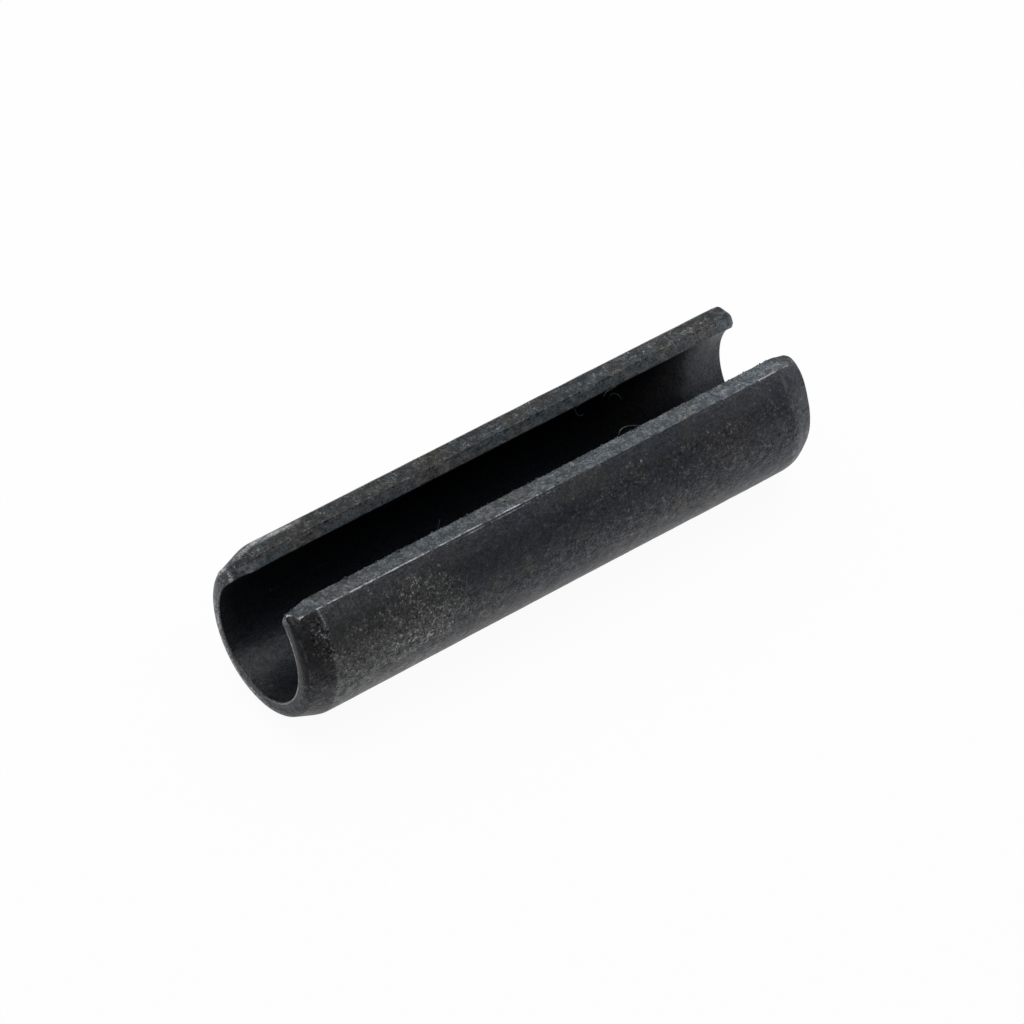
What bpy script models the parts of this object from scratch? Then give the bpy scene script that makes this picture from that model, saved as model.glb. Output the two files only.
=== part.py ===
"""A slotted spring pin: one strip of spring steel, rolled into a C and drawn in at both ends.

The pin lies along X with its slot facing up. Its underside touches Z = 0, and all sizes are in metres.
"""

import math

import bmesh
import bpy
from mathutils import Vector

MM = 0.001

# The rolled tube, as it is before it is pressed into its hole
PIN_LENGTH = 30.2 * MM
OUTER_RADIUS = 4.25 * MM
WALL = 1.15 * MM

# The drawn-in ends
NOSE_LENGTH = 1.37 * MM
NOSE_DRAW_IN = 0.49 * MM
BORE_TAPER_LENGTH = 2.20 * MM
BORE_DRAW_IN = 0.07 * MM
SHOULDER_ROUND = 1.40 * MM
BORE_SHOULDER_ROUND = 4.0 * MM
MOUTH_ROUND = 0.06 * MM

# The bulged rim between the flat of an end face and the nose
RIM_DEPTH = 0.25 * MM
RIM_WIDTH = 0.40 * MM

# The slot between the two edges of the strip
SLOT_WIDTH = 3.71 * MM
SLOT_SIDE_TILT = math.radians(18.0)
LIP_LAND_HEIGHT = 3.22 * MM
LIP_ROUND = 0.10 * MM

# The strip's corners, cut off where the slot meets the ends: how far along the pin and how far round it.
# The far lip is the one on the +Y side.
FAR_LEFT_CUT_LENGTH = 1.55 * MM
FAR_LEFT_CUT_ANGLE = math.radians(38.0)
NEAR_LEFT_CUT_LENGTH = 0.45 * MM
NEAR_LEFT_CUT_ANGLE = math.radians(8.0)
FAR_RIGHT_CUT_LENGTH = 0.90 * MM
FAR_RIGHT_CUT_ANGLE = math.radians(17.0)
NEAR_RIGHT_CUT_LENGTH = 0.35 * MM
NEAR_RIGHT_CUT_ANGLE = math.radians(4.0)

# How finely round forms are divided
TURN_STEPS = 72
ROUND_STEPS = 4
CUT_STEPS = 8

# How far the slot's cutter reaches past the ends and away from the axis
CUTTER_MARGIN = 2.0 * MM
CUTTER_REACH = 3 * OUTER_RADIUS

MERGE_DISTANCE = 1e-7

HALF_STEP = math.pi / TURN_STEPS
HALF_LENGTH = PIN_LENGTH / 2
AXIS_HEIGHT = OUTER_RADIUS * math.cos(HALF_STEP)
BORE_RADIUS = OUTER_RADIUS - WALL
MOUTH_RADIUS = BORE_RADIUS - BORE_DRAW_IN
NOSE_SLOPE = NOSE_DRAW_IN / NOSE_LENGTH
LONGEST_CUT = max(FAR_LEFT_CUT_LENGTH, NEAR_LEFT_CUT_LENGTH, FAR_RIGHT_CUT_LENGTH, NEAR_RIGHT_CUT_LENGTH)


def clear_scene():
    for old in list(bpy.data.objects):
        bpy.data.objects.remove(old, do_unlink=True)


def new_collection(name):
    collection = bpy.data.collections.new(name)
    bpy.context.scene.collection.children.link(collection)
    return collection


def rounded(corners):
    """The points of a closed outline whose corners, each (place, radius), are turned into arcs."""
    points = []
    for index, (corner, radius) in enumerate(corners):
        back = (corners[index - 1][0] - corner).normalized()
        ahead = (corners[(index + 1) % len(corners)][0] - corner).normalized()
        if radius == 0:
            points.append(corner)
            continue
        half_angle = back.angle(ahead) / 2
        centre = corner + (back + ahead).normalized() * radius / math.sin(half_angle)
        first = (corner + back * radius / math.tan(half_angle) - centre).normalized()
        last = (corner + ahead * radius / math.tan(half_angle) - centre).normalized()
        for step in range(ROUND_STEPS + 1):
            points.append(centre + first.slerp(last, step / ROUND_STEPS) * radius)
    return points


def nose_radius(distance):
    """The outside of the sharp cone at a distance from the end, before its rim is rounded."""
    return OUTER_RADIUS - NOSE_SLOPE * max(NOSE_LENGTH - max(distance, 0.0), 0.0)


def rim_curve():
    """The rim from the flat of the end face to the nose, a quarter of an ellipse laid on the cone."""
    places = []
    for step in range(ROUND_STEPS + 1):
        turn = math.pi / 2 * step / ROUND_STEPS
        distance = RIM_DEPTH * (1 - math.cos(turn))
        radius = nose_radius(distance) - RIM_WIDTH * (1 - math.sin(turn))
        places.append(Vector((-HALF_LENGTH + distance, radius)))
    return places


def wall_outline():
    """The wall cut along the pin's axis, as (distance along the axis, distance from the axis)."""
    left_half = [
        (Vector((-HALF_LENGTH + BORE_TAPER_LENGTH, BORE_RADIUS)), BORE_SHOULDER_ROUND),
        (Vector((-HALF_LENGTH, MOUTH_RADIUS)), MOUTH_ROUND),
    ]
    left_half += [(place, 0) for place in rim_curve()]
    left_half.append((Vector((-HALF_LENGTH + NOSE_LENGTH, OUTER_RADIUS)), SHOULDER_ROUND))
    right_half = [(Vector((-place.x, place.y)), radius) for place, radius in reversed(left_half)]
    return rounded(left_half + right_half)


def turned_tube(name, collection):
    """The closed tube, turned about its own axis, with a flat of the rounding right underneath."""
    mesh = bpy.data.meshes.new(name)
    outline = bmesh.new()
    corners = []
    for place in wall_outline():
        across = place.y * math.sin(HALF_STEP)
        upward = place.y * math.cos(HALF_STEP)
        corners.append(outline.verts.new((place.x, across, upward)))
    for start, end in zip(corners, corners[1:] + corners[:1]):
        outline.edges.new((start, end))
    outline.to_mesh(mesh)
    outline.free()

    tube = bpy.data.objects.new(name, mesh)
    tube.location.z = AXIS_HEIGHT
    collection.objects.link(tube)
    turn = tube.modifiers.new("turn", "SCREW")
    turn.axis = "X"
    turn.steps = TURN_STEPS
    turn.render_steps = TURN_STEPS
    turn.use_merge_vertices = True
    turn.merge_threshold = MERGE_DISTANCE
    turn.use_smooth_shade = True
    return tube


def slot_side():
    """The far half of the slot seen along the pin: from its floor near the axis up its side, then the land."""
    half_width = SLOT_WIDTH / 2
    side_depth = half_width / math.tan(SLOT_SIDE_TILT)
    floor_height = max(0.0, LIP_LAND_HEIGHT - side_depth)
    floor_half = half_width - (LIP_LAND_HEIGHT - floor_height) * math.tan(SLOT_SIDE_TILT)
    corners = [
        (Vector((floor_half, floor_height)), 0),
        (Vector((half_width, LIP_LAND_HEIGHT)), LIP_ROUND),
        (Vector((CUTTER_REACH, LIP_LAND_HEIGHT)), 0),
    ]
    return rounded(corners)


def turned_away(place, angle):
    """A place turned about the axis, away from the slot."""
    across = place.x * math.cos(angle) + place.y * math.sin(angle)
    upward = place.y * math.cos(angle) - place.x * math.sin(angle)
    return Vector((across, upward))


def corner_angle(distance, length, angle):
    """How far round a corner is cut off at a distance from the end. The cut is a quarter of an ellipse."""
    gap = min(1 - distance / length, 1.0)
    if gap <= 0:
        return 0.0
    return angle * (1 - math.sqrt(1 - gap * gap))


def slot_ring(along, distance, far_cut, near_cut):
    """The slot's outline at one place along the pin, dipping with the nose and wider at cut corners."""
    squeeze = nose_radius(distance) / OUTER_RADIUS
    ring = []
    for place in slot_side():
        turned = turned_away(place, corner_angle(distance, *far_cut))
        ring.append(Vector((along, turned.x, turned.y * squeeze)))
    ring.append(Vector((along, 0, CUTTER_REACH)))
    for place in reversed(slot_side()):
        turned = turned_away(place, corner_angle(distance, *near_cut))
        ring.append(Vector((along, -turned.x, turned.y * squeeze)))
    return ring


def slot_cutter(name, collection):
    """The slot as a solid: its outline carried along the pin from beyond one end to beyond the other."""
    distances = [-CUTTER_MARGIN]
    for step in range(CUT_STEPS + 1):
        distances.append(LONGEST_CUT * (1 - math.cos(math.pi / 2 * step / CUT_STEPS)))
    distances = sorted(distances + [NOSE_LENGTH])
    far_left = (FAR_LEFT_CUT_LENGTH, FAR_LEFT_CUT_ANGLE)
    near_left = (NEAR_LEFT_CUT_LENGTH, NEAR_LEFT_CUT_ANGLE)
    far_right = (FAR_RIGHT_CUT_LENGTH, FAR_RIGHT_CUT_ANGLE)
    near_right = (NEAR_RIGHT_CUT_LENGTH, NEAR_RIGHT_CUT_ANGLE)
    outlines = [slot_ring(-HALF_LENGTH + d, d, far_left, near_left) for d in distances]
    outlines += [slot_ring(HALF_LENGTH - d, d, far_right, near_right) for d in reversed(distances)]

    loft = bmesh.new()
    rings = [[loft.verts.new(place) for place in outline] for outline in outlines]
    count = len(rings[0])
    for near_ring, far_ring in zip(rings, rings[1:]):
        for index in range(count):
            after = (index + 1) % count
            loft.faces.new((near_ring[index], near_ring[after], far_ring[after], far_ring[index]))
    loft.faces.new(reversed(rings[0]))
    loft.faces.new(rings[-1])
    bmesh.ops.recalc_face_normals(loft, faces=loft.faces)

    mesh = bpy.data.meshes.new(name)
    loft.to_mesh(mesh)
    loft.free()
    cutter = bpy.data.objects.new(name, mesh)
    cutter.location.z = AXIS_HEIGHT
    cutter.hide_render = True
    cutter.display_type = "WIRE"
    collection.objects.link(cutter)
    return cutter


def cut(body, cutter):
    boolean = body.modifiers.new(f"cut {cutter.name}", "BOOLEAN")
    boolean.operation = "DIFFERENCE"
    boolean.solver = "EXACT"
    boolean.object = cutter


def blackened_steel():
    """Spring steel with a dark, slightly rough phosphate coat and a film of oil."""
    material = bpy.data.materials.new("blackened_steel")
    material.use_nodes = True
    shader = material.node_tree.nodes["Principled BSDF"]
    shader.inputs["Base Color"].default_value = (0.045, 0.047, 0.052, 1.0)
    shader.inputs["Roughness"].default_value = 0.5
    shader.inputs["Metallic"].default_value = 0.6
    material.diffuse_color = (0.045, 0.047, 0.052, 1.0)
    return material


def main():
    clear_scene()
    pin_parts = new_collection("spring_pin_parts")
    cutters = new_collection("cutters")
    pin = turned_tube("spring_pin", pin_parts)
    pin.data.materials.append(blackened_steel())
    cut(pin, slot_cutter("slot", cutters))


main()
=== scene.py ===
# %% [markdown]
# # A slotted spring pin in blackened spring steel
#
# A spring pin is a strip of spring steel that is rolled until its two edges nearly meet. It is a little
# wider than its hole, so it closes as it is driven in, and then its own spring holds it there.
#
# The construction model settles the pin's size and place. This lesson makes the surface that the eye
# sees: softened corners, lips that were sheared and rolled, drawn-in ends, crumbs of burr and the
# grainy black coat. We start by loading the construction model, and nothing in it is moved.

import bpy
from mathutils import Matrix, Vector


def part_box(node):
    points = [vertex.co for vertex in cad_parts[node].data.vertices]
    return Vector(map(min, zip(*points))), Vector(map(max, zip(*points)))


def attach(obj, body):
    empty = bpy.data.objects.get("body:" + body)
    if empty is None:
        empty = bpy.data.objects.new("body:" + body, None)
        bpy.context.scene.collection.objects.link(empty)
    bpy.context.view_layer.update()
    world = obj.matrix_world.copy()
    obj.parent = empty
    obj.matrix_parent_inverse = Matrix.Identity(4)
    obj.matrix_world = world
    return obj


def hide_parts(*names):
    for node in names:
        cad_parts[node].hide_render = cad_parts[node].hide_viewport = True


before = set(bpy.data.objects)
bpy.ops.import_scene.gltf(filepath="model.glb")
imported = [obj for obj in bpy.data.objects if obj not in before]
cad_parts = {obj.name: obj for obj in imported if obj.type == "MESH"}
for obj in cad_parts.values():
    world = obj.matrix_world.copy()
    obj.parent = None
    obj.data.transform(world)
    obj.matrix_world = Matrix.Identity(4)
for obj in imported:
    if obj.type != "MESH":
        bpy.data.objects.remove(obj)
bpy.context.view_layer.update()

# %% Bring in Blender and Python's own modules
import math
import random

import bmesh
import bpy
from mathutils import Euler, Vector, noise
from mathutils.bvhtree import BVHTree

MM = 0.001

# %% [markdown]
# ## The sizes
#
# The length, the outer radius and the height of the axis are measured on the construction model. The
# wall, the slot and the ends can't be measured on a box, so they are written here as the real sizes
# of an 8 x 30 mm pin. Millimetres are easier to read on such a small thing than metres.

# %% Measure the pin
low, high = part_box("spring_pin")
HALF_LENGTH = (high[0] - low[0]) / 2
OUTER_RADIUS = (high[1] - low[1]) / 2
AXIS_HEIGHT = low[2] + OUTER_RADIUS
LAND_HEIGHT = high[2] - AXIS_HEIGHT
print(f"half length {HALF_LENGTH / MM:.2f} mm, radius {OUTER_RADIUS / MM:.3f} mm")
print(f"lands {LAND_HEIGHT / MM:.2f} mm above the axis")

# %% Real sizes that the box doesn't show
WALL = 1.15 * MM
SLOT_WIDTH = 3.71 * MM
SLOT_SIDE_TILT = math.radians(18.0)
NOSE_LENGTH = 1.37 * MM
NOSE_DRAW_IN = 0.49 * MM
BORE_TAPER_LENGTH = 2.20 * MM
BORE_DRAW_IN = 0.07 * MM
RIM_DEPTH = 0.25 * MM
MOUTH_DEPTH = 0.06 * MM
MOUTH_WIDTH = 0.05 * MM
print(f"the bore is {2 * (OUTER_RADIUS - WALL) / MM:.2f} mm wide, the slot {SLOT_WIDTH / MM:.2f} mm")

# %% [markdown]
# ## The camera
#
# The pin is photographed from above and a little to its left, through a long lens: the far end is hardly
# smaller than the near one. The camera stands 60 pin radii away, which keeps that flat perspective.
# It looks at a point close to the middle of the pin.

# %% Set up the camera
CAMERA_AZIMUTH = math.radians(-38.55)
CAMERA_ELEVATION = math.radians(40.6)
CAMERA_DISTANCE = 60 * OUTER_RADIUS
LENS_MM = 190.7
AIM_SIDEWAYS = -0.21 * MM
AIM_UP = -0.15 * MM

flat = math.cos(CAMERA_ELEVATION)
towards_camera = Vector((
    math.sin(CAMERA_AZIMUTH) * flat,
    -math.cos(CAMERA_AZIMUTH) * flat,
    math.sin(CAMERA_ELEVATION),
))
camera_turn = towards_camera.to_track_quat("Z", "Y")
aim = Vector((0, 0, AXIS_HEIGHT)) + camera_turn @ Vector((AIM_SIDEWAYS, AIM_UP, 0))

camera = bpy.data.objects.new("camera", bpy.data.cameras.new("camera"))
camera.location = aim + towards_camera * CAMERA_DISTANCE
camera.rotation_mode = "QUATERNION"
camera.rotation_quaternion = camera_turn
camera.data.lens = LENS_MM
camera.data.sensor_width = 36.0
camera.data.sensor_fit = "HORIZONTAL"
camera.data.clip_start = 0.01
bpy.context.scene.collection.objects.link(camera)
bpy.context.scene.camera = camera
print("camera at", [round(value, 4) for value in camera.location])

# %% [markdown]
# ## Shader maths in Python
#
# A material is a small calculation at each point of a surface. Written node by node it is long and hard
# to read, so a Wire stands for the output of a node and can be added, multiplied and compared. Each
# operator adds one Math node. Everything else comes from one method, node.


# %% A wire that can be calculated with
class Wire:
    """The output of a node. An operator on it adds a Math node and gives that node's wire."""

    def __init__(self, board, socket):
        self.board = board
        self.socket = socket

    def maths(self, operation, *values):
        sockets = {index: value for index, value in enumerate(values)}
        return self.board.node("ShaderNodeMath", {"operation": operation}, sockets)

    def __add__(self, other):
        return self.maths("ADD", self, other)

    def __radd__(self, other):
        return self.maths("ADD", other, self)

    def __sub__(self, other):
        return self.maths("SUBTRACT", self, other)

    def __rsub__(self, other):
        return self.maths("SUBTRACT", other, self)

    def __mul__(self, other):
        return self.maths("MULTIPLY", self, other)

    def __rmul__(self, other):
        return self.maths("MULTIPLY", other, self)

    def __truediv__(self, other):
        return self.maths("DIVIDE", self, other)

    def __pow__(self, other):
        return self.maths("POWER", self, other)

    def __abs__(self):
        return self.maths("ABSOLUTE", self)

    def at_least(self, least):
        """The wire, or the least value wherever the wire is below it."""
        return self.maths("MAXIMUM", self, least)

    def above(self, start, end):
        """0 below start, 1 above end, and a soft step between them."""
        settings = {"interpolation_type": "SMOOTHSTEP"}
        return self.board.node("ShaderNodeMapRange", settings, {0: self, 1: start, 2: end}, "Result")

    def below(self, start, end):
        """1 below start, 0 above end, and a soft step between them."""
        return 1 - self.above(start, end)


# %% A board that nodes are put on
class Board:
    """A material's node tree, with one method that adds any node."""

    def __init__(self, name):
        self.material = bpy.data.materials.new(name)
        self.material.use_nodes = True
        self.tree = self.material.node_tree
        self.tree.nodes.clear()

    def node(self, kind, settings=None, sockets=None, output=0):
        """Adds a node, sets it up, fills or links its sockets, and gives the wire of one output."""
        made = self.tree.nodes.new(kind)
        for name, value in (settings or {}).items():
            setattr(made, name, value)
        for name, value in (sockets or {}).items():
            if isinstance(value, Wire):
                self.tree.links.new(value.socket, made.inputs[name])
            else:
                made.inputs[name].default_value = value
        return Wire(self, made.outputs[output]) if made.outputs else made

    def mix(self, amount, first, second):
        """A colour between two others."""
        settings = {"data_type": "RGBA"}
        return self.node("ShaderNodeMix", settings, {0: amount, 6: first, 7: second}, 2)

    def tint(self, amount, colour, factor):
        """A colour multiplied by another, by some amount."""
        settings = {"data_type": "RGBA", "blend_type": "MULTIPLY", "clamp_result": False}
        return self.node("ShaderNodeMix", settings, {0: amount, 6: colour, 7: factor}, 2)

    def mark(self, name):
        """A number that the mesh carries at each of its points."""
        return self.node("ShaderNodeAttribute", {"attribute_name": name}, {}, "Fac")


# %% [markdown]
# ## Light and floor
#
# What we see on such a dark surface is mostly the studio's own reflection. The lands of the lips mirror
# a large soft box that hangs over the pin and reaches far behind it. The side towards the camera mirrors
# the dim front of the room, and the underside mirrors the white table, which brightens as the surface
# turns away. So there is one big lamp, a dim room and a bright table.
#
# The photo's background is plain white, but a table lit that brightly would light the pin too much. So
# where the table is seen, by the eye or in a reflection, it mostly glows white, and to all other light it
# is a sheet of white paper.

# %% A dim room
ROOM_BRIGHTNESS = 0.13

world = bpy.data.worlds.new("studio")
bpy.context.scene.world = world
world.use_nodes = True
room = world.node_tree.nodes["Background"]
room.inputs["Color"].default_value = (1.0, 1.0, 1.0, 1.0)
room.inputs["Strength"].default_value = ROOM_BRIGHTNESS


# %% Soft boxes
def soft_box(name, place, target, width, brightness):
    """A square area lamp at a place, facing a target. Its face has the given brightness, white being 1."""
    data = bpy.data.lights.new(name, "AREA")
    data.shape = "SQUARE"
    data.size = width
    data.energy = brightness * math.pi * width * width
    lamp = bpy.data.objects.new(name, data)
    lamp.location = place
    lamp.rotation_mode = "QUATERNION"
    lamp.rotation_quaternion = (Vector(place) - Vector(target)).to_track_quat("Z", "Y")
    bpy.context.scene.collection.objects.link(lamp)
    print(name, "energy", round(data.energy, 3))


soft_box("overhead_box", place=(0.06, 0.09, 0.24), target=(0.06, 0.09, 0.0), width=0.50, brightness=1.35)

# %% A white table
TABLE_HALF = 1.5
TABLE_GLOW = 0.95

table_mesh = bpy.data.meshes.new("table")
table_corners = [(-TABLE_HALF, -TABLE_HALF, 0), (TABLE_HALF, -TABLE_HALF, 0)]
table_corners += [(TABLE_HALF, TABLE_HALF, 0), (-TABLE_HALF, TABLE_HALF, 0)]
table_mesh.from_pydata(table_corners, [], [(0, 1, 2, 3)])
table = bpy.data.objects.new("table", table_mesh)
bpy.context.scene.collection.objects.link(table)

card = Board("white_card")
paper = card.node("ShaderNodeBsdfDiffuse", None, {"Color": (0.92, 0.92, 0.92, 1)})
glow = card.node("ShaderNodeEmission", None, {"Color": (1, 1, 1, 1), "Strength": 1.0})
seen_by_eye = card.node("ShaderNodeLightPath", None, None, "Is Camera Ray")
seen_in_gloss = card.node("ShaderNodeLightPath", None, None, "Is Glossy Ray")
seen_through = card.node("ShaderNodeLightPath", None, None, "Is Transmission Ray")
seen = (seen_by_eye + seen_in_gloss + seen_through) * TABLE_GLOW
lifted = card.node("ShaderNodeMixShader", None, {0: seen, 1: paper, 2: glow})
card.node("ShaderNodeOutputMaterial", None, {"Surface": lifted})
table_mesh.materials.append(card.material)

# %% [markdown]
# ## The section of the rolled strip
#
# Cut across, the pin is a C. Walking round it we meet the outside, then a lip: a narrow flat land on top,
# the cut side of the strip facing the slot, and the corner where the bore begins. Then comes the
# bore, and the other lip. Every corner of a rolled strip is soft, so each one is a short curve.
#
# A section always has the same number of points in the same order. That is what lets us join one
# section to the next along the pin.

# %% How many points each stretch of the section has, and how soft its corners are
ARC_POINTS = 150
CORNER_POINTS = 6
LAND_POINTS = 9
SIDE_POINTS = 8

OUTER_CORNER = 0.045 * MM
LAND_CORNER = 0.03 * MM
BORE_CORNER = 0.06 * MM
THINNEST_LAND = 0.02 * MM


# %% Small helpers for curves
def between(start, end, share):
    return start + (end - start) * share


def share_between(value, start, end):
    """0 up to the start, 1 from the end on, and in step with the value between them."""
    return min(max((value - start) / (end - start), 0.0), 1.0)


def corner_curve(start, corner, end, count):
    """Points of a soft curve from start to end that bends at a corner."""
    points = []
    for step in range(count):
        share = (step + 1) / (count + 1)
        points.append(between(between(start, corner, share), between(corner, end, share), share))
    return points


def on_circle(radius, angle):
    """A point on a circle round the axis. Angle 0 is up, towards the slot."""
    return Vector((radius * math.sin(angle), radius * math.cos(angle)))


def straight_run(start, end, count):
    return [between(start, end, index / (count - 1)) for index in range(count)]


# %% One lip
def lip(outer, bore, land, half_slot, softness):
    """The far lip's points from the outside to the bore, each with its kind, and where the arcs begin.

    softness has the sizes of its three rounded corners: the outer one, the land's and the bore's.
    """
    land = min(land, math.sqrt(outer * outer - (half_slot + THINNEST_LAND) ** 2))
    outer_angle = math.acos(land / outer)
    top = on_circle(outer, outer_angle)
    edge = Vector((half_slot, land))
    down = Vector((-math.sin(SLOT_SIDE_TILT), -math.cos(SLOT_SIDE_TILT)))
    along = edge.dot(down)
    depth = -along - math.sqrt(along * along - edge.length_squared + bore * bore)
    foot = edge + down * depth
    foot_angle = math.atan2(foot.x, foot.y)

    # However small the land or the side gets, the soft corners leave a bit of it
    land_width = (top - edge).length
    soft_land = min(softness[1], land_width * 0.45, depth * 0.45)
    soft_outer = min(softness[0], land_width * 0.95 - soft_land)
    soft_bore = min(softness[2], depth * 0.5)
    inward = Vector((-1, 0))
    outside_end = outer_angle + soft_outer / outer
    bore_start = foot_angle + soft_bore / bore

    land_start = top + inward * soft_outer
    land_end = edge - inward * soft_land
    side_start = edge + down * soft_land
    side_end = foot - down * soft_bore
    leave = on_circle(outer, outside_end)
    enter = on_circle(bore, bore_start)
    points = [(place, "worn") for place in corner_curve(leave, top, land_start, CORNER_POINTS)]
    points += [(place, "land") for place in straight_run(land_start, land_end, LAND_POINTS)]
    points += [(place, "edge") for place in corner_curve(land_end, edge, side_start, CORNER_POINTS)]
    points += [(place, "side") for place in straight_run(side_start, side_end, SIDE_POINTS)]
    points += [(place, "side") for place in corner_curve(side_end, foot, enter, CORNER_POINTS)]
    return points, outside_end, bore_start


# %% The half of a section that belongs to one lip
def turned(place, angle):
    """A point turned round the axis, away from the slot."""
    across = place.x * math.cos(angle) + place.y * math.sin(angle)
    height = place.y * math.cos(angle) - place.x * math.sin(angle)
    return Vector((across, height))


def half_section(outer, bore, land, cut_back, softness):
    """From the lowest point of the outside up to the lip and back down the bore, on the far side.

    cut_back is the angle by which the lip's corner is cut away from the slot.
    """
    lip_points, outside_end, bore_start = lip(outer, bore, land, SLOT_WIDTH / 2, softness)
    half_arc = ARC_POINTS // 2
    points = []
    for step in range(half_arc):
        angle = between(math.pi, outside_end + cut_back, (step + 0.5) / (half_arc - 0.5))
        points.append((on_circle(outer, angle), "outside"))
    points += [(turned(place, cut_back), kind) for place, kind in lip_points]
    for step in range(half_arc):
        angle = between(bore_start + cut_back, math.pi, step / (half_arc - 0.5))
        points.append((on_circle(bore, angle), "bore"))
    return points


# %% [markdown]
# ## The drawn-in ends
#
# Both ends are pressed into a tapered ring while the strip is rolled, so that the pin finds its hole.
# The outside runs down a cone, the bore narrows a little with it and the lands dip. At the very end the
# sheared face of the strip has bulged into a dome, with the sharp edge of the shear at the bore.
#
# The press wasn't quite square to the pin: on the far lip the left nose is longer and the right nose
# shorter. The strip's own corners were cut off too, most of all on the far lip at the left end, and the
# lips' tips are softened by handling and lean back a little.
#
# A single cone and a single dome would make all of that alike. So each end has one shape for each lip, one
# for the flank below it and one for the bottom, given by a few sizes, and the section changes softly
# from one to the next on its way down. Each shape depends only on the distance from the end.

# %% How each lip ends
def nose_shape(skew, rim):
    """A nose's sizes, given in millimetres: how much shorter it is, and its domed rim's depth and width."""
    return {"skew": skew * MM, "rim_depth": rim[0] * MM, "rim_width": rim[1] * MM}


def end_shape(cut, skew, rim, tip=(0, 0, 0), lean=0):
    """The sizes of a lip's end, given in millimetres and degrees.

    The corner cut has a length along the pin and an angle round it. The tip adds to the softness of the
    lip's three corners, and the lean is how far the lip's tip stands back behind the end.
    """
    return nose_shape(skew, rim) | {
        "cut_length": cut[0] * MM,
        "cut_angle": math.radians(cut[1]),
        "tip": [size * MM for size in tip],
        "lean": lean * MM,
    }


NOSE_SOFTNESS = 0.10 * MM
TAPER_SOFTNESS = 0.35 * MM
TIP_DEPTH = 0.42 * MM
LEAN_DEPTH = 1.5 * MM
LIPS = {
    ("left", "far"): end_shape((1.55, 36.5), -0.25, (0.25, 0.57)),
    ("left", "near"): end_shape((0.15, 5), 0.0, (0.30, 0.30), tip=(0.55, 0, 0), lean=0.20),
    ("right", "far"): end_shape((0.55, 15), 0.95, (0.30, 0.15), tip=(0.12, 0.20, 0.30), lean=0.12),
    ("right", "near"): end_shape((0.50, 4), 0.30, (0.25, 0.28), tip=(0.45, 0, 0)),
}
for (end, side), shape in LIPS.items():
    print(f"{end} end, {side} lip: the nose is {(NOSE_LENGTH - shape['skew']) / MM:.2f} mm long")

# %% How the flanks below the lips and the bottoms end
FLANKS = {
    ("left", "far"): nose_shape(-0.25, (0.25, 0.57)),
    ("left", "near"): nose_shape(0.0, (0.25, 0.36)),
    ("right", "far"): nose_shape(0.90, (0.40, 0.50)),
    ("right", "near"): nose_shape(0.08, (0.25, 0.48)),
}
BOTTOMS = {
    "left": nose_shape(0.05, (0.25, 0.36)),
    "right": nose_shape(0.55, (0.75, 1.00)),
}


# %% Sizes that depend on the distance from the end
# Past this many softnesses a soft ramp is straight
STRAIGHT_FROM = 30


def rounding(distance, depth, width):
    """How far a rounded edge has fallen away, at a distance from the end. Its curve is an ellipse."""
    gap = 1 - max(distance, 0.0) / depth
    return width * (1 - math.sqrt(1 - gap * gap)) if gap > 0 else 0.0


def soft_ramp(distance, length, softness):
    """Rises from 0 at a length from the end to 1 at the end, with a softened start."""
    along = (length - distance) / softness
    rise = math.log1p(math.exp(along)) if along <= STRAIGHT_FROM else along
    return rise * softness / length


def corner_cut(distance, shape):
    """The angle by which a lip's corner is cut away at a distance from the end."""
    return rounding(distance, shape["cut_length"], shape["cut_angle"])


def lip_lean(distance, shape, height):
    """How far back a point stands because its lip's tip does. Most of it is high up, close to the end."""
    fade = max(1 - distance / LEAN_DEPTH, 0.0)
    return shape["lean"] * max(height / LAND_HEIGHT, 0.0) ** 3 * fade


def half_section_at(distance, shape):
    """One half of the section at a distance from an end of some shape."""
    nose_distance = distance + shape["skew"]
    draw = soft_ramp(nose_distance, NOSE_LENGTH, NOSE_SOFTNESS)
    narrow = soft_ramp(nose_distance, BORE_TAPER_LENGTH, TAPER_SOFTNESS)
    outer = OUTER_RADIUS - NOSE_DRAW_IN * draw
    bore = OUTER_RADIUS - WALL - BORE_DRAW_IN * narrow
    land = LAND_HEIGHT * outer / OUTER_RADIUS
    outer -= rounding(distance, shape["rim_depth"], shape["rim_width"])
    bore += rounding(distance, MOUTH_DEPTH, MOUTH_WIDTH)
    tip = math.sqrt(max(1 - (distance / TIP_DEPTH) ** 2, 0.0))
    corners = (OUTER_CORNER, LAND_CORNER, BORE_CORNER)
    softness = [corner + tip * extra for corner, extra in zip(corners, shape["tip"])]
    return half_section(outer, bore, land, corner_cut(distance, shape), softness)


# %% The whole section
FLANK_HEIGHT = 1.2 * MM
LIP_HEIGHT = 2.4 * MM


def blended(lower, upper, start, end):
    """The lower outline below one height, the upper one above another, and a soft change between."""
    points = []
    for (low_place, kind), (high_place, _) in zip(lower, upper):
        rise = share_between(high_place.y, start, end)
        rise = rise * rise * (3 - 2 * rise)
        points.append((between(low_place, high_place, rise), kind))
    return points


def whole_half(distance, end, side):
    """A lip's half, which takes on the sizes of the flank and of the bottom on its way down."""
    shape = LIPS[end, side]
    top = half_section_at(distance, shape)
    flank = half_section_at(distance, shape | FLANKS[end, side])
    bottom = half_section_at(distance, shape | BOTTOMS[end])
    return blended(blended(bottom, flank, -OUTER_RADIUS, 0.0), top, FLANK_HEIGHT, LIP_HEIGHT)


def section_at(distance, end):
    """The closed C, from the bottom up over the far lip, through the bore and over the near lip."""
    near = whole_half(distance, end, "near")
    near_half = [(Vector((-place.x, place.y)), kind) for place, kind in reversed(near)]
    return whole_half(distance, end, "far") + near_half


middle_section = section_at(HALF_LENGTH, "left")
print("a section has", len(middle_section), "points")

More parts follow.
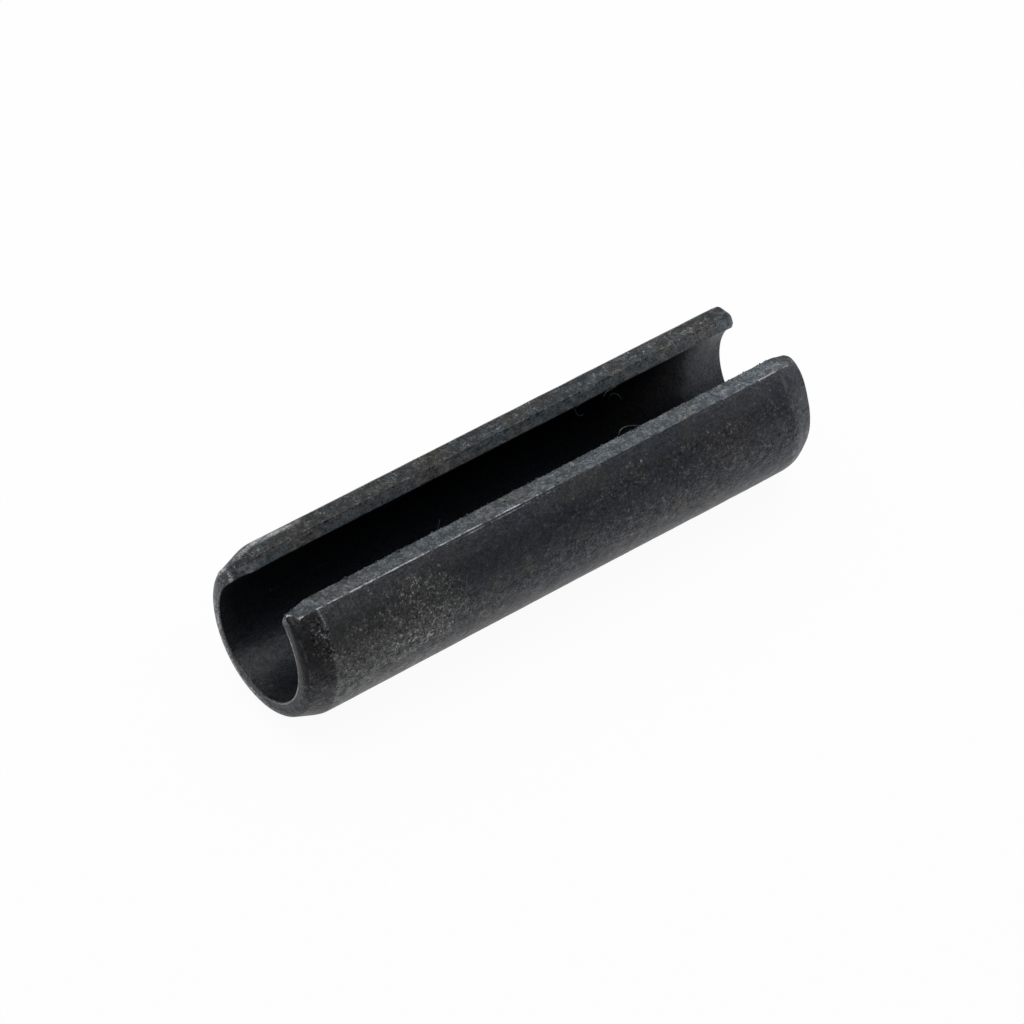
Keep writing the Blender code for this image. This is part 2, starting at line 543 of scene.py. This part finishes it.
# %% Where the sections stand
RIM_STEPS = 14
NOSE_STEPS = 30
BODY_STEP = 0.145 * MM

rim = [RIM_DEPTH * (1 - math.cos(math.pi / 2 * i / RIM_STEPS)) for i in range(RIM_STEPS)]
nose = [between(RIM_DEPTH, 2 * NOSE_LENGTH, i / NOSE_STEPS) for i in range(NOSE_STEPS)]
body_steps = round((HALF_LENGTH - 2 * NOSE_LENGTH) / BODY_STEP)
body = [between(2 * NOSE_LENGTH, HALF_LENGTH, i / body_steps) for i in range(body_steps)]
half_row = rim + nose + body
stations = [-HALF_LENGTH + d for d in half_row] + [0.0] + [HALF_LENGTH - d for d in reversed(half_row)]
print(len(stations), "sections along the pin")

# %% [markdown]
# ## Joining the sections
#
# Neighbouring sections are joined by four-sided faces, like the rungs of a ladder wrapped round the pin.
# The two C-shaped rims are closed by faces across the wall, from the outside to the bore, and each lip's
# little end by one face of its own.
#
# Each point also carries a few numbers, called marks, which say what kind of place it is on: the land,
# the cut side, the bore, a worn edge or a corner that was cut off. The material reads them later.

# %% Waviness of a rolled strip
WAVE_HEIGHT = 0.010 * MM
EDGE_WAVE = 0.030 * MM

# A corner that is cut away by this angle or more has its lumps at their full height
FULL_CUT = math.radians(9)
LUMP_HEIGHT = 0.07 * MM

# To the right the pin has sprung open a little more, which lowers its underside
SPRING_OPEN = 0.045 * MM
OPENING_START = 2.0 * MM
OPENING_END = 9.0 * MM


def outward(point):
    """The direction from the pin's axis to a point."""
    return Vector((0, point.y, point.z - AXIS_HEIGHT)).normalized()


def wavy(point, kind):
    """Moves a point by what rolling and shearing left behind."""
    spot = point / MM
    away = outward(point)
    slow = noise.noise(spot * 0.7)
    quick = noise.noise(spot * 2.9 + Vector((7, 3, 1)))
    opened = share_between(point.x, OPENING_START, OPENING_END) * max(-away.z, 0.0)
    moved = point + away * (WAVE_HEIGHT * (slow + 0.6 * quick) + SPRING_OPEN * opened)
    if kind in ("edge", "land", "side"):
        sheared = noise.noise(Vector((spot.x * 1.7, spot.y * 0.5, 4.0)))
        sheared += 0.7 * noise.noise(Vector((spot.x * 4.9, spot.y, 9.0)))
        moved.y += EDGE_WAVE * sheared * (1.0 if kind == "edge" else 0.4)
    return moved


def lumpy(point, cut):
    """Moves a point of a cut corner as the punch's ragged break would."""
    spot = point / MM
    lumps = noise.noise(spot * 2.3 + Vector((0, 8, 2)))
    lumps += 0.6 * noise.noise(spot * 5.1 + Vector((3, 0, 6)))
    return point + outward(point) * LUMP_HEIGHT * cut * lumps


# %% The points of the surface
def surface_points():
    """The points of all sections, one section after another, and each point's marks."""
    points = []
    marks = {"land": [], "side": [], "bore": [], "worn": [], "cut": []}
    for along in stations:
        end = "left" if along < 0 else "right"
        distance = HALF_LENGTH - abs(along)
        for place, kind in section_at(distance, end):
            shape = LIPS[end, "far" if place.x > 0 else "near"]
            cut = min(corner_cut(distance, shape) / FULL_CUT, 1.0)
            cut = cut if kind not in ("outside", "bore") else 0.0
            lean = lip_lean(distance, shape, place.y) * (1 if end == "left" else -1)
            point = wavy(Vector((along + lean, place.x, AXIS_HEIGHT + place.y)), kind)
            points.append(lumpy(point, cut))
            marks["cut"].append(cut)
            marks["land"].append(1.0 if kind in ("land", "edge") else 0.0)
            for name in ("side", "bore", "worn"):
                marks[name].append(1.0 if kind == name else 0.0)
    return points, marks


# %% The faces between them
def end_faces(start, count):
    """Faces that close the C at an end: across the wall on both sides, at the bottom, and over each lip."""
    half = count // 2
    arc = ARC_POINTS // 2
    faces = [(count - 1, 0, half - 1, half)]
    for index in range(arc - 1):
        faces.append((index, index + 1, half - 2 - index, half - 1 - index))
        near = half + index
        faces.append((near, near + 1, count - 2 - index, count - 1 - index))
    faces.append(tuple(range(arc - 1, half - arc + 1)))
    faces.append(tuple(range(half + arc - 1, count - arc + 1)))
    return [tuple(start + index for index in face) for face in faces]


def surface_faces(count):
    """The faces between neighbouring sections of so many points, and those that close both ends."""
    faces = []
    for ring in range(len(stations) - 1):
        start = ring * count
        for index in range(count):
            after = (index + 1) % count
            faces.append((start + index, start + after, start + count + after, start + count + index))
    faces += [tuple(reversed(face)) for face in end_faces(0, count)]
    faces += end_faces((len(stations) - 1) * count, count)
    return faces


# %% Make the pin's surface
def marked_object(name, points, faces, marks):
    """A smooth surface whose points carry their marks."""
    mesh = bpy.data.meshes.new(name)
    mesh.from_pydata(points, [], faces)
    for mark, values in marks.items():
        mesh.attributes.new(mark, "FLOAT", "POINT").data.foreach_set("value", values)
    mesh.shade_smooth()
    made = bpy.data.objects.new(name, mesh)
    bpy.context.scene.collection.objects.link(made)
    return made


pin_points, pin_marks = surface_points()
pin_surface = marked_object("pin_surface", pin_points, surface_faces(len(middle_section)), pin_marks)
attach(pin_surface, "root")
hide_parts("spring_pin")
print("faces:", len(pin_surface.data.polygons))

# %% [markdown]
# ## Crumbs and hairs
#
# Shearing and rolling leave crumbs of burr and coat along the lips, in a few heaps and here and there a
# hair of metal that stands up. They are only a few hundredths of a millimetre thick, yet against the
# black bore the eye finds them at once.
#
# A crumb is a small ball with each point pushed in or out. A hair is a thin tube along a softened line.

# %% Where the crumbs lie
CRUMB_COUNT = 170
NEAR_LIP_SHARE = 0.7
CRUMB_REACH = 13.8

# Along, across and above the axis in millimetres, then how many crumbs and how far they are spread
HEAPS = [
    (-14.50, -1.90, 3.10, 4, 0.10),
    (-11.45, -1.84, 3.25, 11, 0.20),
    (-8.41, -1.83, 3.23, 5, 0.12),
    (-7.94, -1.83, 3.23, 3, 0.08),
    (-6.44, -1.83, 3.23, 3, 0.08),
    (-4.42, -1.83, 3.24, 4, 0.09),
    (-2.40, -2.16, 3.23, 3, 0.06),
    (0.32, -2.68, 3.22, 3, 0.06),
    (5.00, 1.68, 2.62, 3, 0.12),
    (6.95, 1.66, 2.58, 6, 0.16),
    (8.93, 1.66, 2.60, 3, 0.05),
    (-10.60, 1.80, 3.00, 3, 0.05),
    (-12.16, 3.05, -0.54, 5, 0.10),
]
rng = random.Random(8)

spots = []
for _ in range(CRUMB_COUNT):
    lip_side = -1 if rng.random() < NEAR_LIP_SHARE else 1
    across_mm = lip_side * (SLOT_WIDTH / 2 / MM + rng.gauss(-0.005, 0.02))
    along_mm = rng.uniform(-CRUMB_REACH, CRUMB_REACH)
    above_axis = LAND_HEIGHT / MM - 0.005 + rng.gauss(0.0, 0.015)
    spots.append((along_mm, across_mm, above_axis, 0.0))
for at_along, at_across, at_height, count, spread in HEAPS:
    spots += [(at_along, at_across, at_height, spread)] * count
print(len(spots), "crumbs")


# %% One crumb
CRUMB_UNEVENNESS = 0.7


def ball():
    """The points and faces of a small, evenly divided ball of radius 1."""
    shape = bmesh.new()
    bmesh.ops.create_icosphere(shape, subdivisions=2, radius=1.0)
    corners = [vert.co.copy() for vert in shape.verts]
    sides = [tuple(vert.index for vert in face.verts) for face in shape.faces]
    shape.free()
    return corners, sides


ball_points, ball_faces = ball()


def crumb(place, size):
    """A crumb's points: a ball of its own proportions, turned any way and made uneven."""
    stretch = Vector((rng.uniform(0.8, 1.9), rng.uniform(0.7, 1.2), rng.uniform(0.6, 1.1)))
    turn = Euler([rng.uniform(0, math.tau) for _ in range(3)]).to_matrix()
    shift = Vector([rng.uniform(0, 50) for _ in range(3)])
    points = []
    for point in ball_points:
        uneven = 1 + CRUMB_UNEVENNESS * noise.noise(point + shift)
        points.append(place + turn @ (point * stretch) * size * uneven)
    return points


# %% Make the crumbs
CRUMB_SIZES = (0.018 * MM, 0.045 * MM)
HEAP_GROWTH = 1.3


def burr_piece(name, points, faces):
    """A piece of loose metal that looks like the lands."""
    piece = marked_object(name, points, faces, {"land": [1.0] * len(points)})
    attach(piece, "root")
    return piece


pin_tree = BVHTree.FromObject(pin_surface, bpy.context.evaluated_depsgraph_get())
crumb_points = []
crumb_faces = []
for at_along, at_across, at_height, spread in spots:
    jitter = Vector([rng.gauss(0, 0.5) * spread for _ in range(3)])
    place = (Vector((at_along, at_across, at_height)) + jitter) * MM + Vector((0, 0, AXIS_HEIGHT))
    place = pin_tree.find_nearest(place)[0]
    size = rng.uniform(*CRUMB_SIZES) * (HEAP_GROWTH if spread else 1.0)
    start = len(crumb_points)
    crumb_points += crumb(place, size)
    crumb_faces += [tuple(start + index for index in face) for face in ball_faces]
crumbs = burr_piece("edge_crumbs", crumb_points, crumb_faces)
print("faces of the crumbs:", len(crumb_faces))

# %% Hairs
HAIR_RADIUS = 0.023 * MM
HAIR_SIDES = 6
TIP_THINNING = 0.6

# A direction that no hair runs in, from which its sideways directions are found
ASIDE = Vector((0.3, 1.0, 0.2))

# Each hair is a few places it passes, in millimetres along, across and above the axis
HAIRS = [
    [(4.62, -1.86, 3.18), (4.70, -1.80, 3.40), (4.85, -1.80, 3.56), (5.12, -1.80, 3.55),
     (5.48, -1.80, 3.42), (5.73, -1.82, 3.30), (6.00, -1.88, 3.18)],
    [(-6.08, -1.88, 3.15), (-6.06, -1.84, 3.35), (-6.00, -1.83, 3.55), (-5.97, -1.86, 3.78)],
    [(6.56, 1.60, 2.26), (6.58, 1.60, 2.50), (6.75, 1.62, 2.63), (7.07, 1.63, 2.60), (7.40, 1.67, 2.60)],
    [(6.88, 1.62, 1.92), (6.92, 1.60, 2.24), (7.08, 1.60, 2.38), (7.33, 1.60, 2.22), (7.56, 1.60, 1.95),
     (7.66, 1.62, 1.62)],
    [(4.80, 1.66, 2.60), (4.90, 1.60, 2.20), (5.12, 1.60, 1.95), (5.33, 1.60, 1.98)],
]


def softened(line):
    """The line with its bends cut round, twice."""
    for _ in range(2):
        softer = [line[0]]
        for start, end in zip(line, line[1:]):
            softer += [between(start, end, 0.25), between(start, end, 0.75)]
        line = softer + [line[-1]]
    return line


def hair(line):
    """The points and faces of a thin tube along a line, tapering to both tips."""
    path = softened([Vector(spot) * MM + Vector((0, 0, AXIS_HEIGHT)) for spot in line])
    points = []
    faces = []
    for index, place in enumerate(path):
        heading = (path[min(index + 1, len(path) - 1)] - path[max(index - 1, 0)]).normalized()
        sideways = heading.cross(ASIDE).normalized()
        upward = heading.cross(sideways)
        thickness = HAIR_RADIUS * (1.0 - TIP_THINNING * (2 * index / (len(path) - 1) - 1) ** 4)
        for step in range(HAIR_SIDES):
            angle = math.tau * step / HAIR_SIDES
            points.append(place + (sideways * math.cos(angle) + upward * math.sin(angle)) * thickness)
    for ring in range(len(path) - 1):
        for step in range(HAIR_SIDES):
            here = ring * HAIR_SIDES + step
            beside = ring * HAIR_SIDES + (step + 1) % HAIR_SIDES
            faces.append((here, beside, beside + HAIR_SIDES, here + HAIR_SIDES))
    faces.append(tuple(reversed(range(HAIR_SIDES))))
    faces.append(tuple(range(len(points) - HAIR_SIDES, len(points))))
    return points, faces


hair_points = []
hair_faces = []
for line in HAIRS:
    points, faces = hair(line)
    hair_faces += [tuple(len(hair_points) + index for index in face) for face in faces]
    hair_points += points
hairs = burr_piece("burr_hairs", hair_points, hair_faces)
print("hairs:", len(HAIRS), "faces:", len(hair_faces))

# %% [markdown]
# ## Blackened steel
#
# The coat is a phosphate: a felt of tiny crystals grown on the steel and soaked in oil. It is nearly
# black, a touch blue where it is thin and brown or olive where it is thick, and it is peppered with
# light specks where the crystals are coarse or rubbed.
#
# Each of those is a pattern in space, measured in millimetres, so the grain has the right size at once.
# A painted image would need unwrapping and would blur up close. The patterns are made first, then
# mixed into a colour, a roughness and a fine relief.
#
# First we need to know where a point is. The pin is a rolled sheet, so a place on it is a distance along
# the pin and an angle round it, 0 at the slot, negative towards the camera. The marks tell the rest.

# %% Where a point is on the rolled sheet
steel = Board("blackened_steel")
position = steel.node("ShaderNodeTexCoord", None, None, "Object")
millimetres = steel.node("ShaderNodeVectorMath", {"operation": "SCALE"}, {0: position, "Scale": 1 / MM})


def axis(name):
    return steel.node("ShaderNodeSeparateXYZ", None, {"Vector": millimetres}, name)


along = axis("X")
across = axis("Y")
height = axis("Z") - AXIS_HEIGHT / MM
radius = (across * across + height * height) ** 0.5
around = across.maths("ARCTAN2", across, height) * math.degrees(1)
from_top = abs(around)
from_end = HALF_LENGTH / MM - abs(along)

near_side = across.below(-0.5, 0.5)
far_side = 1 - near_side
left_half = along.below(-1, 1)
right_half = along.above(0, 1)

# %% What kind of place it is
land = steel.mark("land")
side = steel.mark("side")
bore = steel.mark("bore")
worn = steel.mark("worn")
cut = steel.mark("cut").above(0.15, 0.55)
outside = (1 - bore) * (1 - land) * (1 - side) * (1 - cut)
lips = land + side
near_land = land * near_side


# %% Patterns in space
def shifted(shift, vector=None):
    sockets = {0: vector or millimetres, 1: (shift, shift, 0)}
    return steel.node("ShaderNodeVectorMath", {"operation": "ADD"}, sockets)


def clouds(per_millimetre, detail=3.0, roughness=0.5, shift=0.0, vector=None):
    """Soft noise, from 0 to 1 and mostly near a half."""
    sockets = {"Vector": shifted(shift, vector), "Scale": per_millimetre}
    sockets |= {"Detail": detail, "Roughness": roughness}
    return steel.node("ShaderNodeTexNoise", None, sockets, "Fac")


def cells(per_millimetre, shift=0.0):
    """Crystal-like cells: the distance from each cell's middle and two random numbers of the cell."""
    sockets = {"Vector": shifted(shift), "Scale": per_millimetre}
    distance = steel.node("ShaderNodeTexVoronoi", None, sockets, "Distance")
    colour = steel.node("ShaderNodeTexVoronoi", None, sockets, "Color")
    first = steel.node("ShaderNodeSeparateColor", None, {"Color": colour}, "Red")
    second = steel.node("ShaderNodeSeparateColor", None, {"Color": colour}, "Green")
    return distance, first, second


def specks(per_millimetre, size, share, shift):
    """Rounded specks of different brightness. Only a share of the cells, which may vary, has one."""
    distance, chance, brightness = cells(per_millimetre, shift)
    present = (chance - (1 - share)).above(0.0, 0.03)
    return distance.below(size * 0.5, size) * present * (0.35 + 0.65 * brightness)


def streak(distance, half_width, fade):
    """A thin line where a distance is 0: whole within its half width, gone from the fade on."""
    return abs(distance).below(half_width, fade)


# %% Clouds and cells of several sizes
grain = clouds(8.0, 2.0, 0.6)
fine_grain = clouds(15.0, 1.0, 0.5, 7.0)
flecks = clouds(6.0, 2.0, 0.6, 13.0)
mottle = clouds(2.4, 3.0, 0.6, 3.0)
ragged = clouds(1.6, 4.0, 0.7, 41.0)
broken = clouds(1.3, 3.0, 0.7, 17.0)
stains = clouds(0.62, 3.0, 0.6, 29.0)
patches = clouds(0.50, 3.0, 0.55, 11.0)
mosaic = cells(10.0, 2.0)[1]


# %% Places on the sheet
def blot(at_along, at_around, half_length, half_angle, angle=around):
    """A patch with ragged edges, at a place in millimetres along the pin and degrees round it."""
    lengthwise = (along - at_along) / half_length
    crosswise = (angle - at_around) / half_angle
    spread = lengthwise * lengthwise + crosswise * crosswise + (ragged - 0.5) * 2.4
    return spread.below(0.35, 1.15)


left_haze_and_sheen = along.below(-13.0, -3.0)
left_nose = from_end.below(1.40, 1.55) * left_half * outside
right_nose = (from_end - NOSE_LENGTH / MM).below(-0.1, 0.1) * right_half * outside
right_body = along.above(0, 5) * outside
near_left = around.above(-100, -80) * near_side * left_half * outside
lower = from_top.above(66, 100) * outside
belt = around.below(-60, -54) * around.above(-92, -84) * along.above(-3, 0) * outside

# %% Beds of coarse crystal
nose_bed = blot(-13.98, -60, 0.52, 20) * along.below(-13.66, -13.60)
crystal_bed = blot(-8.7, -76, 2.8, 27) + blot(-12.2, -73, 2.0, 15) * 0.65 + nose_bed
crystal_bed = crystal_bed.above(0, 1)
sparse_bed = blot(8.5, -66, 3.6, 18) * 0.5 + blot(-10.0, -54, 3.0, 9) * 0.5 + blot(3.4, -60, 2.0, 10) * 0.7
bed = crystal_bed + sparse_bed.above(0, 1) * 0.45
print(len(steel.tree.nodes), "nodes for the patterns")

# %% [markdown]
# ### The colour of the coat
#
# The coat starts blue-black. Thicker coat is brown or olive, in wide soft patches and in a few blots at
# set places. The left nose was rubbed smooth and dark. The lips are the strip's sheared edges, where the
# coat is thinner and paler. The domed rims at the ends are painted dark on the near side, as painted
# shade, and pale on the far side, as painted light. The bore is seen only where light falls in at its
# ends, so its colour is painted light there and painted shade deep inside.

# %% The colours
BLUE_BLACK = (0.028, 0.032, 0.039, 1)
HAZE = (0.043, 0.044, 0.044, 1)
BROWN = (0.037, 0.037, 0.040, 1)
OLIVE = (0.043, 0.044, 0.041, 1)
NOSE_BROWN = (0.0172, 0.0166, 0.0186, 1)
NEAR_END_PAINTED_SHADE = (0.0145, 0.016, 0.019, 1)
FAR_END_PAINTED_LIGHT = (0.096, 0.099, 0.104, 1)
NEAR_LAND = (0.098, 0.111, 0.121, 1)
FAR_LAND = (0.050, 0.054, 0.057, 1)
LIP_BLUE = (0.92, 1.00, 1.06, 1)
LIP_WARM = (1.09, 1.01, 0.92, 1)
SIDE_GREY = (0.145, 0.160, 0.172, 1)
CUT_GREY = (0.083, 0.087, 0.098, 1)
BORE_BLACK = (0.020, 0.025, 0.033, 1)
BORE_LIT_GREY = (0.060, 0.061, 0.065, 1)
BORE_PAINTED_SHADE = (0.007, 0.008, 0.011, 1)
BORE_LIT_PALE = (0.071, 0.076, 0.085, 1)
POOL_BLUE = (0.028, 0.035, 0.044, 1)
CRYSTAL = (0.34, 0.34, 0.33, 1)
BARE_STEEL = (0.62, 0.64, 0.66, 1)

# %% The outside
coat = steel.mix(patches.above(0.44, 0.62) * 0.8, BLUE_BLACK, BROWN)
coat = steel.mix(stains.above(0.52, 0.68) * 0.7, coat, OLIVE)
coat = steel.mix(left_haze_and_sheen * 0.75, coat, HAZE)
coat = steel.mix((blot(-7.2, -48, 1.4, 12) + blot(10.2, -60, 2.2, 18)) * 0.8, coat, BROWN)
coat = steel.mix((blot(1.3, -48, 1.5, 8) + crystal_bed) * 0.6, coat, OLIVE)
coat = steel.mix(blot(3.2, -68, 2.0, 12), coat, BLUE_BLACK)

# %% The noses, and the domed rims in painted light and shade
coat = steel.mix(left_nose, coat, NOSE_BROWN)
# The domed rims: painted shade on the near side, painted light on the far side
end_colour_painted_light_and_shade = steel.mix(across.above(-1.8, 1.0), NEAR_END_PAINTED_SHADE, FAR_END_PAINTED_LIGHT)
coat = steel.mix(from_end.below(0.14, 0.30) * outside, coat, end_colour_painted_light_and_shade)

# %% The lips and their cut corners
coat = steel.mix(side, coat, SIDE_GREY)
coat = steel.mix(land, coat, steel.mix(near_side, FAR_LAND, NEAR_LAND))
lip_tint = steel.mix(patches.above(0.42, 0.60), LIP_BLUE, LIP_WARM)
coat = steel.tint(lips * (1 - near_side * 0.5), coat, lip_tint)
coat = steel.mix(cut, coat, CUT_GREY)

# %% The bore, in painted light and shade
floor_light = (from_top + (ragged - 0.5) * 20).above(132, 146)
mouth_light = floor_light * along.below(-11.0, -4.0) * (0.35 + 0.9 * along.below(-15.0, -12.0))
mouth_light = mouth_light * (0.6 + 0.8 * mottle) + 0.35 * from_end.below(0.2, 1.0)
bore_light = mouth_light + along.below(-15, -8) * 0.16
pool = blot(-13.4, 180, 1.1, 22, from_top)
far_end_light = (along + (ragged - 0.5) * 1.4).above(12.1, 13.5)

# Painted light where light falls in at the ends, and painted shade deep inside, in the right half
bore_colour = steel.mix(bore_light, BORE_BLACK, BORE_LIT_GREY)
bore_colour = steel.mix(pool * 0.85, bore_colour, POOL_BLUE)
bore_colour = steel.mix(along.above(2, 10), bore_colour, BORE_PAINTED_SHADE)
bore_colour = steel.mix(far_end_light, bore_colour, BORE_LIT_PALE)
coat = steel.mix(bore, coat, bore_colour)

# %% Flecks and specks of coarse crystal
cluster = mottle.above(0.45, 0.65)
fleck_share = 0.03 + 0.05 * cluster + 0.07 * belt + 0.42 * bed * (0.3 + 0.7 * mosaic) + 0.10 * land
fine_share = 0.015 + 0.045 * cluster + 0.20 * crystal_bed + 0.12 * near_land + 0.08 * nose_bed
coarse_share = 0.006 + 0.014 * cluster + 0.012 * belt + 0.06 * land + 0.20 * bed * cluster
fleck = flecks.above(0.54, 0.66) * fleck_share
fine_specks = specks(10.0, 0.50, fine_share, 0.0)
coarse_specks = specks(4.8, 0.40, coarse_share, 5.0)
speck = (fleck + fine_specks * 0.55 + coarse_specks) * (1 - bore * 0.9) * (1 - side * 0.5)
speck = speck * (1 - left_nose * 0.5)
coat = steel.mix(speck * 0.8, coat, CRYSTAL)

# %% Scribbles of coat on the far lip
ridge = clouds(2.7, 2.0, 0.5, 53.0) - 0.5
scribble = streak(ridge, 0.005, 0.022) * mottle.above(0.47, 0.56) * lips.above(0, 1) * far_side
coat = steel.mix(scribble * 0.35, coat, CRYSTAL)

# %% [markdown]
# ### Where the coat is rubbed through
#
# Pins lie loose in a box and rub on each other, so the coat goes first on the sharpest edges, and bare
# steel shows there as a thin, broken, bright line. The worn mark gives us the lands' outer edges. The
# other lines are found by their distance from the end, their angle or their radius.

# %% Along the lands
SECOND_LINE_ANGLE = -42.6

near_wear = 0.30 + 0.70 * along.below(-1.5, 0.5) + 0.35 * along.above(11.5, 12.5)
far_wear = 0.2 + along.below(-13.0, -10.5)
land_edge = worn * (near_side * near_wear + far_side * far_wear) * (1 - cut) * broken.above(0.36, 0.56)
land_edge = land_edge * (from_end - 0.2 * right_half).above(0.42, 0.60)

# Halfway between two marks their product is a quarter, so four times that is 1 on the line between them
tip_line = worn * land * 4 * from_end.below(0.36, 0.44) * near_side * left_half
second_line = streak(around - SECOND_LINE_ANGLE, 0.20, 0.55) * outside * broken.above(0.40, 0.55)
second_line = second_line * along.above(-6.5, -5.0) * along.below(-1.0, 0.3)

# %% Round the far lip's cut corner
# How far from the axis the outside is there: it falls with the nose
nose_distance = from_end + LIPS["left", "far"]["skew"] / MM
drawn = (1 - nose_distance / (NOSE_LENGTH / MM)).at_least(0.0)
outermost = OUTER_RADIUS / MM - NOSE_DRAW_IN / MM * drawn
far_fringe = (radius - outermost).above(-0.22, -0.06) * (land + cut).above(0, 1)
far_fringe = far_fringe * far_side * along.below(-12.0, -10.0)
rim_line = streak(from_end - 0.30, 0.03, 0.09) * cut * left_half * far_side * broken.above(0.42, 0.55)

# %% Round the mouths and the shoulders
past_mouth = radius - (OUTER_RADIUS - WALL - BORE_DRAW_IN) / MM
mouth_wear = 0.22 + 0.45 * across.below(-2.9, 0.0) + 0.45 * height.above(-0.5, 1.5) * near_side
mouth_edge = past_mouth.below(0.064, 0.114) * from_end.below(0.02, 0.09)
mouth_edge = mouth_edge * broken.above(0.30, 0.50) * mouth_wear
rim_streak = streak(from_end - 0.16, 0.02, 0.06) * near_left
rim_streak = rim_streak * around.below(-58, -52) * mottle.above(0.44, 0.56)
shoulder = from_end - NOSE_LENGTH / MM - 0.05
shoulder_edge = streak(shoulder, 0.04, 0.16) * outside * broken.above(0.40, 0.62)
pale_branch = streak(shoulder, 0.02, 0.06) * near_left * around.above(-62, -52)

# %% Bare steel in all of them
rubbed = land_edge * 0.65 + tip_line * 0.9 + second_line * 0.35 + far_fringe * 1.1 + rim_line * 0.7
rubbed = rubbed + mouth_edge + rim_streak * 0.12 + shoulder_edge * 0.13 + pale_branch * 0.3
coat = steel.mix(rubbed * 0.5, coat, BARE_STEEL)

# %% Scratches that the rolling left along the bore
LONG_SCRATCH_ANGLE = 100.4

stretched = steel.node("ShaderNodeVectorMath", {"operation": "MULTIPLY"}, {0: millimetres, 1: (0.03, 1, 1)})
scratch = clouds(5.0, 1.0, 0.5, 23.0, stretched).above(0.66, 0.76)
scratch = scratch * bore * (1 - mouth_light) * along.below(-6, 4)
long_scratch = streak(around - LONG_SCRATCH_ANGLE, 0.12, 0.45) * bore
long_scratch = long_scratch * along.above(-12.6, -12.2) * along.below(-9.0, -8.0)
coat = steel.mix(scratch * 0.10 + long_scratch * 0.14, coat, CRYSTAL)

# %% [markdown]
# ### Grain, and lighter and darker stretches
#
# The crystals catch the light unevenly, so the whole colour is multiplied by a grain. It is strongest low
# on the flanks, where the table's light comes up, and blotchy on the sheared lips. The same product holds
# the slow changes, such as the lands that pale towards the right. It also holds painted light and shade:
# a painted highlight along the tops of the flanks, a painted reflection of the table that lightens the
# underside, most of all on the left, and painted shade on the near rim of the left end and at the near
# land's right tip.

# %% Grain
contrast = 0.40 + (0.32 + 0.24 * near_side) * land + 0.18 * side + 0.45 * cut + 0.05 * bore
contrast = contrast + 0.25 * bed + 0.60 * nose_bed + 0.24 * belt + 1.05 * lower
contrast = contrast + 0.30 * from_end.below(0.2, 0.4) - 0.09 * right_body
grains = (grain - 0.5) * 3.0 + (fine_grain - 0.5) * 2.6 + (mosaic - 0.5) * 0.7
blotches = (mottle - 0.5) * (2.2 + 1.6 * lips + 0.9 * lower) + (ragged - 0.5) * (0.8 + 1.0 * land)
shade = (1 + (grains + blotches) * contrast).at_least(0.12 + 0.5 * land)

# %% Lighter and darker stretches
# Painted highlight: the flanks' tops next to the lands are lit from above; the right nose is lighter too
upper = from_top.below(52, 70) * outside
painted_highlight_top_strip = from_top.below(50, 59) * outside
shade = shade * (0.86 + 0.41 * upper + 0.33 * painted_highlight_top_strip + 0.50 * right_nose)

far_rise = 0.16 * along.above(-8, 2) + 0.17 * along.above(2, 12) - 0.12
near_rise = 0.15 * along.above(-4, 12)
# Painted reflection of the table on the underside at the left, with the right end and the beds lighter
painted_sheen_right_end_and_beds = left_haze_and_sheen * 0.72 * lower + along.above(8, 13) * (0.36 - 0.25 * lower) + bed * 0.22
lighter_by = [
    # Both lands pale towards the right
    land * (near_side * near_rise + far_side * far_rise),
    near_land * along.above(10.0, 12.5) * 0.12,
    # A painted reflection of the table lightens the underside, most on the left; the right end and beds too
    painted_sheen_right_end_and_beds * outside + lower * 0.25,
]
darker_by = [
    # The near land on the left, and painted shade at its right tip, where it dips away from the light
    near_land * along.below(-12, 6) * 0.16,
    near_land * right_half * from_end.below(0.40, 0.58) * 0.35,
    # Painted shade on the near rim of the left end; the lower left and a belt along the near flank are
    # darker
    near_left * from_end.below(0.13, 0.26) * 0.45,
    lower * along.below(-12.8, -10.0) * 0.08 + belt * 0.03,
]
for share in lighter_by:
    shade = shade * (1 + share)
for share in darker_by:
    shade = shade * (1 - share)
coat = steel.node("ShaderNodeVectorMath", {"operation": "SCALE"}, {0: coat, "Scale": shade})

# %% [markdown]
# ### The shader
#
# The coat is thin and oiled, so the shader is mostly metallic and half rough. Its crystals stand up by
# some hundredths of a millimetre, too fine for the mesh, so a Bump node tilts the surface by the same
# patterns.

# %% Put the shader together
RELIEF_DEPTH = 0.06 * MM

roughness = 0.34 + 0.22 * grain
metallic = 0.75 - 0.5 * side + 0.2 * rubbed
bumps = (grain * 0.8 + fine_grain * 0.35 + mottle * 0.8 + mosaic * 0.10 + speck * 0.7) * (1 - bore * 0.4)
relief = steel.node("ShaderNodeBump", None, {"Strength": 0.8, "Distance": RELIEF_DEPTH, "Height": bumps})
surface = steel.node(
    "ShaderNodeBsdfPrincipled",
    None,
    {"Base Color": coat, "Roughness": roughness, "Normal": relief, "Metallic": metallic},
)
steel.node("ShaderNodeOutputMaterial", None, {"Surface": surface})
for piece in (pin_surface, crumbs, hairs):
    piece.data.materials.append(steel.material)
print(len(steel.tree.nodes), "nodes in the steel")

# %% [markdown]
# ## Showing the colours
#
# The surface keeps the construction model's size to some hundredths of a millimetre, and only a hair of
# burr stands up further. The colours are shown plainly, with Blender's Standard view.

# %% Show the colours plainly
bpy.context.scene.view_settings.view_transform = "Standard"
